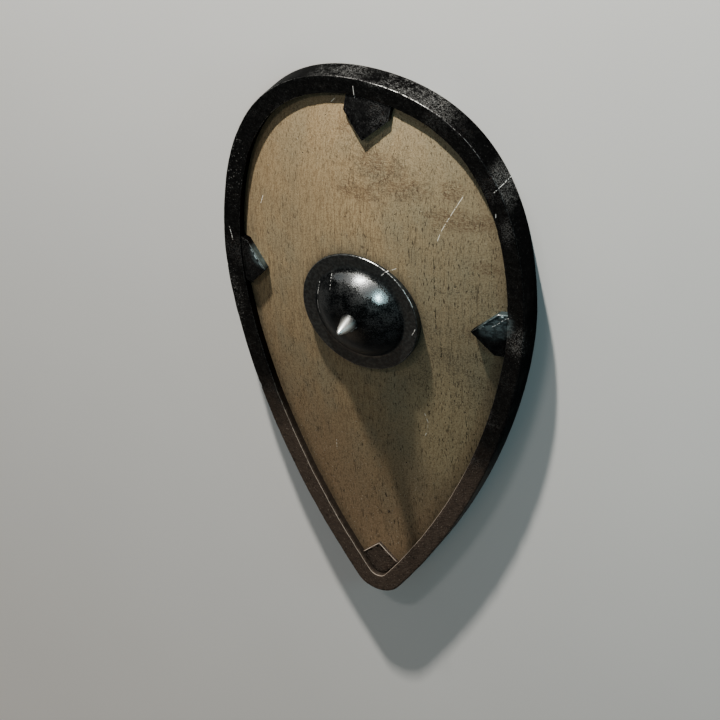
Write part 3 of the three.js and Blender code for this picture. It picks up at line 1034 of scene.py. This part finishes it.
# Places on the rim and tabs, in millimetres on the plan: patches rubbed to bare metal on upright walls and
# on level faces, cool and speckled patches, edges worn bright or faintly so, and scratches
RUBBED_WALLS = [(72, 440, 90, 56), (205, 330, 30, 50), (-60, 450, 70, 30), (-245, 60, 30, 120)]
RUBBED_FACES = [(238, 88, 22, 34), (-240, -10, 24, 90), (12, 452, 22, 12), (222, 268, 14, 30)]
COOLED_FACES = [(-182, 112, 26, 22), (205, 112, 34, 34)]
SPECKED_FACES = [(-240, 0, 26, 100), (-226, 250, 30, 90), (238, 84, 22, 40)]
BRIGHT_EDGES = [
    (46, 449, 52, 14), (86, 436, 26, 14), (-184, 110, 2.4, 2.4), (-174.5, 101, 2.4, 2.4), (213, 126, 8, 5),
]
FAINT_EDGES = [(155, 398, 50, 40), (-236, 20, 22, 100), (-40, 452, 50, 14), (-165, 370, 90, 90)]
IRON_SCRATCHES = [
    ([(32, 478), (23, 466)], 0.6),
    ([(211.5, 350), (210.8, 340), (199, 325)], 0.45),
    ([(203.2, 293.6), (203.3, 285.4)], 0.45),
    ([(-23, 438), (-21, 417)], 0.4),
    ([(-240, 142), (-237, 131), (-235, 119)], 0.5),
    ([(229, 128), (218, 120), (209, 112), (200, 105.5)], 0.5),
]

# Fine lines across the brown towards the tip: how far they lean, and how fast their phase runs, in radians
# a metre
CROSS_LINE_LEAN = math.radians(60)
CROSS_LINE_PHASE = 1500


def iron_finish():
    """Blackened iron: mottled, speckled with bare metal where it is rubbed, bright on worn edges. Towards
    the tip the black gives way to brown with fine marks, partly brown scale, partly a painted warm
    reflection."""
    iron = Finish("blackened_iron")
    mottle = iron.noise(150, 3, 0.6)
    grit = iron.noise(520, 2, 0.65, (3, 1, 2))
    patches = iron.noise(17, 3, 0.55, (2, 9, 4))
    upright = iron.uprightness()
    colour = iron.mix(iron.step(mottle, 0.35, 0.7) * (1 - upright * 0.7), BLACK_IRON, DULL_IRON)
    colour = iron.mix((1 - iron.step(grit, 0.42, 0.58)) * 0.75, colour, SOOT)
    edge_wear = iron.field("edge_wear")
    edge = iron.step(edge_wear, 0.76, 0.86)
    cooled = iron.spots(COOLED_FACES)
    rippled = iron.step(iron.noise((90, 200, 200), 2, 0.5, (4, 7, 7), 0.6), 0.4, 0.62)
    # Teal on two tab patches; the extra teal on their upright walls is painted cool light
    colour = iron.mix(cooled * (rippled * 0.36 + 0.16 + upright * (1 - edge) * 0.4), colour, COOL_IRON)
    walls = iron.spots(RUBBED_WALLS) * upright
    faces = iron.spots(RUBBED_FACES) * (1 - upright)
    rubbed = walls * 0.8 + faces * 0.5 + iron.step(patches, 0.52, 0.68) * 0.2
    rubbed = rubbed * iron.step(grit, 0.43, 0.68) * iron.step(mottle * 0.5 + patches * 0.5, 0.4, 0.56)
    specked = iron.spots(SPECKED_FACES) * 0.85 + 0.12
    rubbed = iron.most(rubbed, iron.step(iron.noise(380, 1, 0.5, (6, 6, 6)), 0.66, 0.73) * specked)
    colour = iron.mix(rubbed, colour, BARE_IRON)
    rust = iron.step(iron.noise(210, 3, 0.6, (8, 8, 1)), 0.56, 0.7) * iron.step(patches, 0.5, 0.7)
    colour = iron.mix(rust * 0.3, colour, RUST)
    roughness = iron.blend(mottle, 0.42, 0.6)
    metal = iron.blend(upright, 0.65, 1.0) - cooled * (1 - upright) * 0.2

    # Towards the tip: brown scale on the iron together with a painted warm reflection from below
    ragged = iron.noise(45, 3, 0.6, (5, 2, 5)) * 0.07
    brown = 1 - iron.step(iron.y + ragged, -0.19, -0.055)
    down_the_flank = abs(iron.x) * math.cos(CROSS_LINE_LEAN) - iron.y * math.sin(CROSS_LINE_LEAN)
    ribs = down_the_flank * CROSS_LINE_PHASE + iron.noise(60, 2, 0.5, (1, 1, 1)) * 26
    cross_lines = iron.math("SINE", ribs) * 0.5 + 0.5
    brown_skin_and_reflection = iron.mix(cross_lines * 0.4 + iron.step(grit, 0.4, 0.62) * 0.5, BROWN_IRON, PALE_BROWN)
    brown_skin_and_reflection = iron.mix(iron.step(mottle, 0.5, 0.72) * 0.6, brown_skin_and_reflection, BLACK_IRON)
    brown_skin_and_reflection = iron.mix(iron.step(iron.noise(430, 1, 0.5, (6, 6, 6)), 0.66, 0.74) * 0.3, brown_skin_and_reflection, BROWN_EDGE)
    colour = iron.mix(brown, colour, brown_skin_and_reflection)
    roughness = iron.blend(brown, roughness, 0.58)
    metal = iron.blend(brown, metal, 0.3)
    relief = mottle * 0.6 + grit * 0.4 + cross_lines * brown * 0.35

    # The rim's inner wall darkened: painted shade
    colour = iron.mix(iron.field("sheltered") * 0.8, colour, SHADED_WALL_IRON)
    # A pale line along the inner front arris in the brown: painted highlight
    painted_highlight_line = iron.step(edge_wear, 0.81, 0.9) * iron.field("inner_edge") * brown
    colour = iron.mix(painted_highlight_line * (iron.step(mottle, 0.3, 0.5) * 0.5 + 0.35), colour, BROWN_EDGE)
    chipped = iron.step(iron.noise(300, 2, 0.6, (1, 6, 1)), 0.44, 0.56)
    bright = iron.most(iron.spots(BRIGHT_EDGES) * 0.95, iron.spots(FAINT_EDGES) * 0.3, 0.04)
    worn = edge * chipped * bright * (1 - brown)
    scratched = iron.scratches(IRON_SCRATCHES, 0.6, 260)
    colour = iron.mix(iron.most(worn, scratched), colour, BRIGHT_IRON)
    roughness = iron.blend(worn, roughness, 0.36)
    metal = iron.blend(scratched, iron.blend(worn, metal, 1.0), 0.3)
    return iron.surface(
        relief, 0.3 * MM, 0.8, Base_Color=colour, Roughness=roughness, Metallic=metal,
        Specular_IOR_Level=0.25, Specular_Tint=GLANCING,
    )


BOSS_BLACK = (0.012, 0.0135, 0.014, 1)
BOSS_WORN = (0.115, 0.118, 0.118, 1)
BOSS_HIGHLIGHT_POLISH = (0.95, 0.95, 0.93, 1)
FLANGE_GREY = (0.030, 0.034, 0.034, 1)

# On the boss, in millimetres on the plan: where it is handled dull, where its shoulder is rubbed bright as
# a painted highlight, the bright part of its lip, and its scratches
HANDLED_DOME = [(8, 128, 78, 46), (48, 96, 40, 50), (-50, 110, 30, 40)]
HIGHLIGHT_SHOULDER = [(3, 154, 46, 24), (26, 145, 32, 24), (42, 134, 19, 20), (-32, 147, 26, 16)]
BRIGHT_LIP = [(35, 172, 52, 34), (80, 135, 20, 20)]
BOSS_SCRATCHES = [
    ([(-44.6, 143), (-42, 134), (-39, 120)], 0.5),
    ([(-66, 119), (-68.5, 92), (-66, 75), (-61, 70)], 0.45),
    ([(37, 160), (44, 168), (49, 169)], 0.5),
    ([(85.5, 71), (92, 84.6)], 0.5),
    ([(-24, 52), (-8, 64), (5, 75), (14, 82.5)], 0.45),
]


def boss_finish():
    """Polished black iron, dulled in clouds of fine wear, with a shoulder rubbed bright as a painted
    highlight.
    """
    iron = Finish("polished_boss_iron")
    grit = iron.noise(560, 2, 0.65)
    clouds = iron.noise(60, 3, 0.6, (4, 2, 2))
    swirl = iron.noise((60, 300, 300), 2, 0.5, (2, 2, 2))
    handled = iron.spots(HANDLED_DOME) * 0.7 + 0.25
    colour = iron.mix(iron.step(grit * 0.6 + clouds * 0.4, 0.43, 0.62) * handled, BOSS_BLACK, BOSS_WORN)
    from_middle = iron.y - BOSS_Y
    reach = iron.x * iron.x + from_middle * from_middle
    flange = iron.step(reach, (DOME_RADIUS - 1 * MM) ** 2, (DOME_RADIUS + 3 * MM) ** 2)
    foot = iron.step(reach, (DOME_RADIUS - 8 * MM) ** 2, DOME_RADIUS**2)
    mottle = iron.step(iron.noise(200, 3, 0.6, (5, 5, 5)), 0.42, 0.62)
    colour = iron.mix(flange, colour, iron.mix(mottle, BOSS_BLACK, FLANGE_GREY))
    # A bright, glossy patch on the shoulder, fading before the foot: rubbed iron placed as a painted
    # highlight
    polished = iron.spots(HIGHLIGHT_SHOULDER) * (1 - foot * 0.9)
    polished = polished * iron.step(polished * 0.5 + grit, 0.68, 0.9)
    colour = iron.mix(polished, colour, BOSS_HIGHLIGHT_POLISH)
    chipped = iron.step(iron.noise(300, 2, 0.6, (1, 6, 1)), 0.42, 0.54)
    bright = iron.spots(BRIGHT_LIP) * 0.95 + 0.05
    edge = iron.field("edge_wear")
    worn = iron.step(edge, 0.6, 0.95) * (1 - iron.step(edge, 1.05, 1.2)) * chipped * bright
    spike = iron.step(edge, 1.2, 1.7)
    colour = iron.mix(iron.most(worn, spike * 0.95), colour, BRIGHT_IRON)
    scratched = iron.scratches(BOSS_SCRATCHES, 0.8, 260)
    colour = iron.mix(scratched, colour, BRIGHT_IRON)
    roughness = iron.blend(iron.step(clouds * 0.6 + grit * 0.4, 0.4, 0.62), 0.35, 0.46)
    roughness = iron.blend(spike, iron.blend(polished, roughness, 0.215), 0.36)
    metal = 1 - iron.most(scratched * 0.7, flange * (1 - worn) * 0.5)
    relief = grit * 0.5 + swirl * 0.5
    return iron.surface(relief, 0.12 * MM, 0.5, Base_Color=colour, Roughness=roughness, Metallic=metal)


DARK_TURNED_WOOD = (0.10, 0.055, 0.03, 1)
LIGHT_TURNED_WOOD = (0.24, 0.15, 0.085, 1)
HANDLED_WOOD = (0.075, 0.042, 0.024, 1)


def grip_finish():
    """Darker turned wood, polished brown by the hand in its middle."""
    wood = Finish("hand_grip_wood")
    fibre = wood.noise((24, 620, 620), 3, 0.6)
    streak = wood.noise((5, 170, 170), 2, 0.5, (3, 3, 3))
    grain = wood.step(fibre * 0.6 + streak * 0.4, 0.36, 0.64)
    colour = wood.mix(grain, DARK_TURNED_WOOD, LIGHT_TURNED_WOOD)
    handled = 1 - wood.step(abs(wood.x), 0.02, 0.055)
    colour = wood.mix(handled * 0.6, colour, HANDLED_WOOD)
    return wood.surface(fibre, 0.25 * MM, Base_Color=colour, Roughness=wood.blend(handled, 0.68, 0.42))


PALE_FLOOR = (0.74, 0.735, 0.72, 1)
PALER_FLOOR = (0.80, 0.795, 0.785, 1)


def floor_finish():
    """Pale smooth floor with a faint unevenness of tone."""
    floor = Finish("pale_floor")
    tone = floor.mix(floor.noise(3, 3, 0.5), PALE_FLOOR, PALER_FLOOR)
    return floor.surface(Base_Color=tone, Roughness=0.75)


def dress(piece, material, node):
    """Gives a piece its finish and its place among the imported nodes."""
    piece.data.materials.append(material)
    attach(piece, "root")
    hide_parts(node)


def make_shield():
    iron = iron_finish()
    dress(make_board(), board_finish(), "board")
    dress(make_rim(), iron, "rim")
    dress(make_boss(), boss_finish(), "boss")
    dress(make_grip(), grip_finish(), "hand_grip")
    inner_top = DISH_EDGE[0, 1]
    inner_tip = DISH_EDGE[HALF_COUNT, 1]
    side = half_width_at(SIDE_TABS_Y)
    narrowing = half_width_at(SIDE_TABS_Y + TAB_HALF_WIDTH) - half_width_at(SIDE_TABS_Y - TAB_HALF_WIDTH)
    side_turn = math.pi / 2 - math.atan2(narrowing, 2 * TAB_HALF_WIDTH)
    tabs = [
        ("tab_top", (0, inner_top), math.pi, TAB_SHOULDER_TOP, TAB_THICKNESS),
        ("tab_left", (-side, SIDE_TABS_Y), -side_turn, TAB_SHOULDER_SIDE, TAB_THICKNESS),
        ("tab_right", (side, SIDE_TABS_Y), side_turn, TAB_SHOULDER_SIDE, TAB_THICKNESS),
        ("tab_tip", (0, inner_tip), 0, TAB_SHOULDER_TIP, TIP_TAB_THICKNESS),
    ]
    for number, (name, *plate) in enumerate(tabs):
        dress(make_tab(name, *plate, 91 + 2 * number), iron, name)


# Floor, lights and camera

FLOOR_REACH = 20
LIT_PLACE = Vector((0, 0, 0.05))
ROOM_COLOUR = (0.82, 0.93, 1.0, 1)
ROOM_STRENGTH = 0.078


def direction(azimuth, elevation):
    """A unit arrow, azimuth turning from +X towards +Y, both in degrees."""
    azimuth = math.radians(azimuth)
    elevation = math.radians(elevation)
    level = math.cos(elevation)
    return Vector((level * math.cos(azimuth), level * math.sin(azimuth), math.sin(elevation)))


def make_floor():
    corners = [(x * FLOOR_REACH, y * FLOOR_REACH, 0) for x, y in ((-1, -1), (1, -1), (1, 1), (-1, 1))]
    mesh = bpy.data.meshes.new("floor")
    mesh.from_pydata(corners, [], [(0, 1, 2, 3)])
    floor = bpy.data.objects.new("floor", mesh)
    bpy.context.scene.collection.objects.link(floor)
    mesh.materials.append(floor_finish())


def softbox(name, azimuth, elevation, distance, width, height, power, colour):
    """A soft light that faces the middle of the shield."""
    lamp = bpy.data.lights.new(name, "AREA")
    lamp.shape = "RECTANGLE"
    lamp.size = width
    lamp.size_y = height
    lamp.energy = power
    lamp.color = colour
    box = bpy.data.objects.new(name, lamp)
    towards = direction(azimuth, elevation)
    box.location = LIT_PLACE + towards * distance
    box.rotation_euler = towards.to_track_quat("Z", "Y").to_euler()
    box.visible_camera = False
    bpy.context.scene.collection.objects.link(box)


def make_lights():
    softbox("key_light", 97.5, 13, 3.4, 0.12, 0.12, 275, (1.0, 0.96, 0.88))
    softbox("top_light", 110, 42, 2.8, 0.75, 0.22, 9.5, (1.0, 0.98, 0.95))
    softbox("cool_light", 45, 57, 2.6, 0.25, 0.25, 4.5, (0.58, 0.93, 1.0))
    softbox("side_light", 20, 14, 2.8, 0.8, 0.5, 9, (0.55, 0.93, 1.0))
    softbox("low_warm_light", -120, 30, 2.6, 0.8, 0.8, 4.3, (1.0, 0.76, 0.55))
    world = bpy.data.worlds.new("pale_room")
    world.use_nodes = True
    background = world.node_tree.nodes["Background"]
    background.inputs["Color"].default_value = ROOM_COLOUR
    background.inputs["Strength"].default_value = ROOM_STRENGTH
    bpy.context.scene.world = world


CAMERA_AZIMUTH = 53.58
CAMERA_ELEVATION = 45.08
CAMERA_ROLL = 135.24
CAMERA_DISTANCE = 4.9735
CAMERA_TARGET = Vector((-0.022, -0.027, 0.040))
CAMERA_LENS = 168.8


def make_camera():
    """The camera at the photograph's angle, turned well over to one side."""
    back = direction(CAMERA_AZIMUTH, CAMERA_ELEVATION)
    upright = (Vector((0, 0, 1)) - back * back.z).normalized()
    level = upright.cross(back)
    roll = math.radians(CAMERA_ROLL)
    up = upright * math.cos(roll) + level * math.sin(roll)
    right = up.cross(back)
    lens = bpy.data.cameras.new("camera")
    lens.sensor_width = 36
    lens.lens = CAMERA_LENS
    lens.clip_end = 100
    camera = bpy.data.objects.new("camera", lens)
    turned = Matrix((right, up, back)).transposed().to_4x4()
    camera.matrix_world = Matrix.Translation(CAMERA_TARGET + back * CAMERA_DISTANCE) @ turned
    bpy.context.scene.collection.objects.link(camera)
    bpy.context.scene.camera = camera


make_camera()
make_lights()
make_floor()
make_shield()
